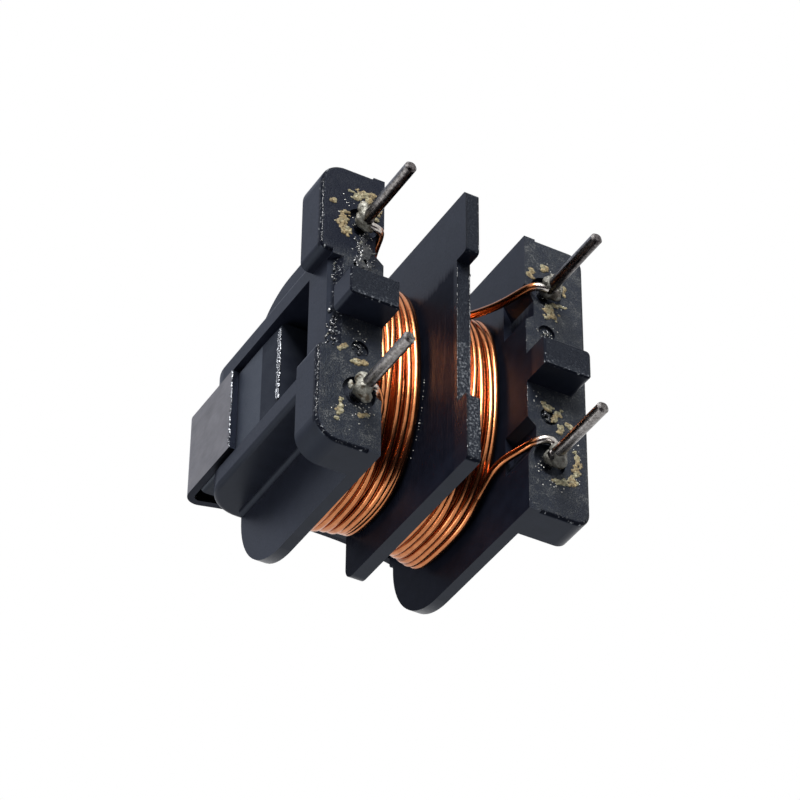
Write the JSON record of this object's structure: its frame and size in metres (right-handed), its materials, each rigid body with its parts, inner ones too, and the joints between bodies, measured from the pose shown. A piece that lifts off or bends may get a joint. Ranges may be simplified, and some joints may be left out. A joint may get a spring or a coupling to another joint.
{
  "type": "common mode choke",
  "caption": "Through-hole common mode choke: side-by-side copper windings on a black moulded bobbin, ferrite U cores, a steel clip and straight pins.",
  "frame": {"origin": "centre of the pin grid, on the plane where the standoffs and the divider's feet seat on the circuit board", "axes": "+Z away from the circuit board, X along the windings from one core yoke to the other, Y across the windings"},
  "size_m": [0.0142, 0.0162, 0.0192],
  "materials": {
    "bobbin_plastic": "black moulded thermoset plastic, satin to glossy",
    "ferrite": "ground sintered ferrite, dark slate, chipped at the edges",
    "clip_steel": "dull rolled spring steel",
    "copper_wire": "enamelled copper wire, glossy",
    "pin_tin": "tinned, slightly dull",
    "solder_tin": "dull solder with flux residue"
  },
  "bodies": {
    "root": {"bobbin": "bobbin_plastic", "core_half_left": "ferrite", "core_half_right": "ferrite", "core_clip": "clip_steel", "winding_left": "copper_wire", "winding_right": "copper_wire", "pin_1": "pin_tin", "pin_2": "pin_tin", "pin_3": "pin_tin", "pin_4": "pin_tin", "solder_1": "solder_tin", "solder_2": "solder_tin", "solder_3": "solder_tin", "solder_4": "solder_tin"}
  },
  "joints": []
}
